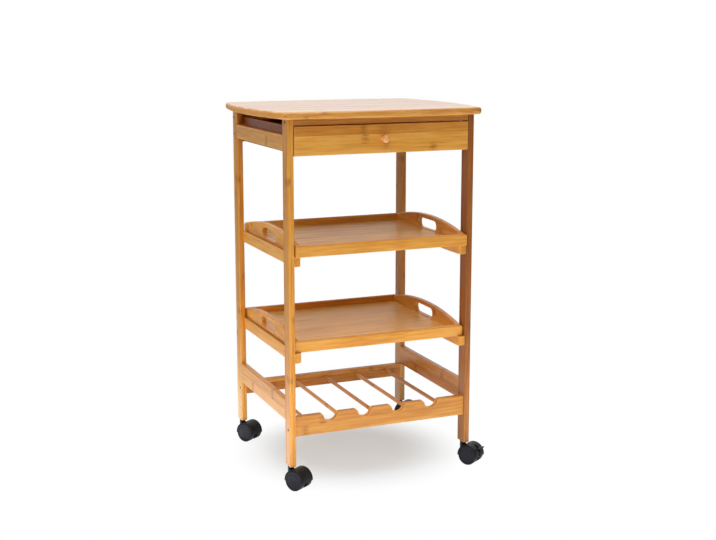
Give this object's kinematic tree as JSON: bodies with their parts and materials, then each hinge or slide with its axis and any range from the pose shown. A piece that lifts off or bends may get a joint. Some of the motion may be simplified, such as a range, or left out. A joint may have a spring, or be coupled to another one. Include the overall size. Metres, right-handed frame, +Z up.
{
  "type": "serving cart",
  "caption": "Bamboo serving cart on swivel castors with a bowed top, a drawer, lift-out trays with hand holes and a notched bottle rack.",
  "frame": {"origin": "on the floor under the middle of the frame", "axes": "+Z up, the drawer opens towards -Y, +X to the right of a person who faces the drawer"},
  "size_m": [0.467, 0.407, 0.75],
  "materials": {
    "bamboo": "satin lacquer",
    "bamboo_top": "satin lacquer",
    "bamboo_panel": "satin lacquer",
    "knob_wood": "satin lacquer",
    "steel": "zinc plated",
    "castor_hood": "moulded",
    "castor_brake": "moulded",
    "castor_wheel": "moulded"
  },
  "bodies": {
    "frame": {"apron_left": "bamboo", "apron_right": "bamboo", "back_panel": "bamboo", "castor_stems": "steel", "drawer_guide_left": "bamboo", "drawer_guide_right": "bamboo", "foot_rail_left": "bamboo", "foot_rail_right": "bamboo", "frame_screws": "steel", "head_rail": "bamboo", "leg_back_left": "bamboo", "leg_back_right": "bamboo", "leg_front_left": "bamboo", "leg_front_right": "bamboo", "rack_back_rail": "bamboo", "rack_dowels": "bamboo", "rack_front_rail": "bamboo", "tabletop": "bamboo_top", "tray_runner_lower_left": "bamboo", "tray_runner_lower_right": "bamboo", "tray_runner_upper_left": "bamboo", "tray_runner_upper_right": "bamboo"},
    "drawer": {"drawer_back": "bamboo", "drawer_bottom": "bamboo_panel", "drawer_front": "bamboo", "drawer_knob": "knob_wood", "drawer_side_left": "bamboo", "drawer_side_right": "bamboo", "knob_screw": "steel"},
    "tray_upper": {"tray_upper_back": "bamboo", "tray_upper_end_left": "bamboo", "tray_upper_end_right": "bamboo", "tray_upper_front": "bamboo", "tray_upper_panel": "bamboo_panel"},
    "tray_lower": {"tray_lower_back": "bamboo", "tray_lower_end_left": "bamboo", "tray_lower_end_right": "bamboo", "tray_lower_front": "bamboo", "tray_lower_panel": "bamboo_panel"},
    "castor_front_left_swivel": {"castor_front_left_hood": "castor_hood", "castor_front_left_axle": "steel"},
    "castor_front_left_wheel_near": {"castor_front_left_wheel_near": "castor_wheel"},
    "castor_front_left_wheel_far": {"castor_front_left_wheel_far": "castor_wheel"},
    "castor_front_right_swivel": {"castor_front_right_hood": "castor_hood", "castor_front_right_axle": "steel"},
    "castor_front_right_wheel_near": {"castor_front_right_wheel_near": "castor_wheel"},
    "castor_front_right_wheel_far": {"castor_front_right_wheel_far": "castor_wheel"},
    "castor_front_right_brake": {"castor_front_right_brake": "castor_brake"},
    "castor_back_left_swivel": {"castor_back_left_hood": "castor_hood", "castor_back_left_axle": "steel"},
    "castor_back_left_wheel_near": {"castor_back_left_wheel_near": "castor_wheel"},
    "castor_back_left_wheel_far": {"castor_back_left_wheel_far": "castor_wheel"},
    "castor_back_right_swivel": {"castor_back_right_hood": "castor_hood", "castor_back_right_axle": "steel"},
    "castor_back_right_wheel_near": {"castor_back_right_wheel_near": "castor_wheel"},
    "castor_back_right_wheel_far": {"castor_back_right_wheel_far": "castor_wheel"},
    "castor_back_right_brake": {"castor_back_right_brake": "castor_brake"}
  },
  "joints": [
    {"name": "drawer_slide", "type": "slide", "parent": "frame", "child": "drawer", "axis": [0, -1, 0], "range_m": [0, 0.2]},
    {"name": "tray_upper_slide", "type": "slide", "parent": "frame", "child": "tray_upper", "axis": [0, -1, 0], "range_m": [-0.02, 0.36]},
    {"name": "tray_lower_slide", "type": "slide", "parent": "frame", "child": "tray_lower", "axis": [0, -1, 0], "range_m": [-0.02, 0.36]},
    {"name": "castor_front_left_swivel", "type": "hinge", "parent": "frame", "child": "castor_front_left_swivel", "pos_m": [-0.1935, -0.161, 0.043], "axis": [0, 0, 1], "continuous": true},
    {"name": "castor_front_left_wheel_near_spin", "type": "hinge", "parent": "castor_front_left_swivel", "child": "castor_front_left_wheel_near", "pos_m": [-0.18315, -0.17693, 0.02], "axis": [0.8387, 0.5446, 0], "continuous": true},
    {"name": "castor_front_left_wheel_far_spin", "type": "hinge", "parent": "castor_front_left_swivel", "child": "castor_front_left_wheel_far", "pos_m": [-0.18315, -0.17693, 0.02], "axis": [0.8387, 0.5446, 0], "continuous": true},
    {"name": "castor_front_right_swivel", "type": "hinge", "parent": "frame", "child": "castor_front_right_swivel", "pos_m": [0.1935, -0.161, 0.043], "axis": [0, 0, 1], "continuous": true},
    {"name": "castor_front_right_wheel_near_spin", "type": "hinge", "parent": "castor_front_right_swivel", "child": "castor_front_right_wheel_near", "pos_m": [0.20385, -0.17693, 0.02], "axis": [0.8387, 0.5446, 0], "continuous": true},
    {"name": "castor_front_right_wheel_far_spin", "type": "hinge", "parent": "castor_front_right_swivel", "child": "castor_front_right_wheel_far", "pos_m": [0.20385, -0.17693, 0.02], "axis": [0.8387, 0.5446, 0], "continuous": true},
    {"name": "castor_front_right_brake_press", "type": "hinge", "parent": "castor_front_right_swivel", "child": "castor_front_right_brake", "pos_m": [0.21093, -0.18784, 0.029], "axis": [0.8387, 0.5446, 0], "range_deg": [0, 15]},
    {"name": "castor_back_left_swivel", "type": "hinge", "parent": "frame", "child": "castor_back_left_swivel", "pos_m": [-0.1935, 0.161, 0.043], "axis": [0, 0, 1], "continuous": true},
    {"name": "castor_back_left_wheel_near_spin", "type": "hinge", "parent": "castor_back_left_swivel", "child": "castor_back_left_wheel_near", "pos_m": [-0.18315, 0.14507, 0.02], "axis": [0.8387, 0.5446, 0], "continuous": true},
    {"name": "castor_back_left_wheel_far_spin", "type": "hinge", "parent": "castor_back_left_swivel", "child": "castor_back_left_wheel_far", "pos_m": [-0.18315, 0.14507, 0.02], "axis": [0.8387, 0.5446, 0], "continuous": true},
    {"name": "castor_back_right_swivel", "type": "hinge", "parent": "frame", "child": "castor_back_right_swivel", "pos_m": [0.1935, 0.161, 0.043], "axis": [0, 0, 1], "continuous": true},
    {"name": "castor_back_right_wheel_near_spin", "type": "hinge", "parent": "castor_back_right_swivel", "child": "castor_back_right_wheel_near", "pos_m": [0.20385, 0.14507, 0.02], "axis": [0.8387, 0.5446, 0], "continuous": true},
    {"name": "castor_back_right_wheel_far_spin", "type": "hinge", "parent": "castor_back_right_swivel", "child": "castor_back_right_wheel_far", "pos_m": [0.20385, 0.14507, 0.02], "axis": [0.8387, 0.5446, 0], "continuous": true},
    {"name": "castor_back_right_brake_press", "type": "hinge", "parent": "castor_back_right_swivel", "child": "castor_back_right_brake", "pos_m": [0.21093, 0.13416, 0.029], "axis": [0.8387, 0.5446, 0], "range_deg": [0, 15]}
  ]
}
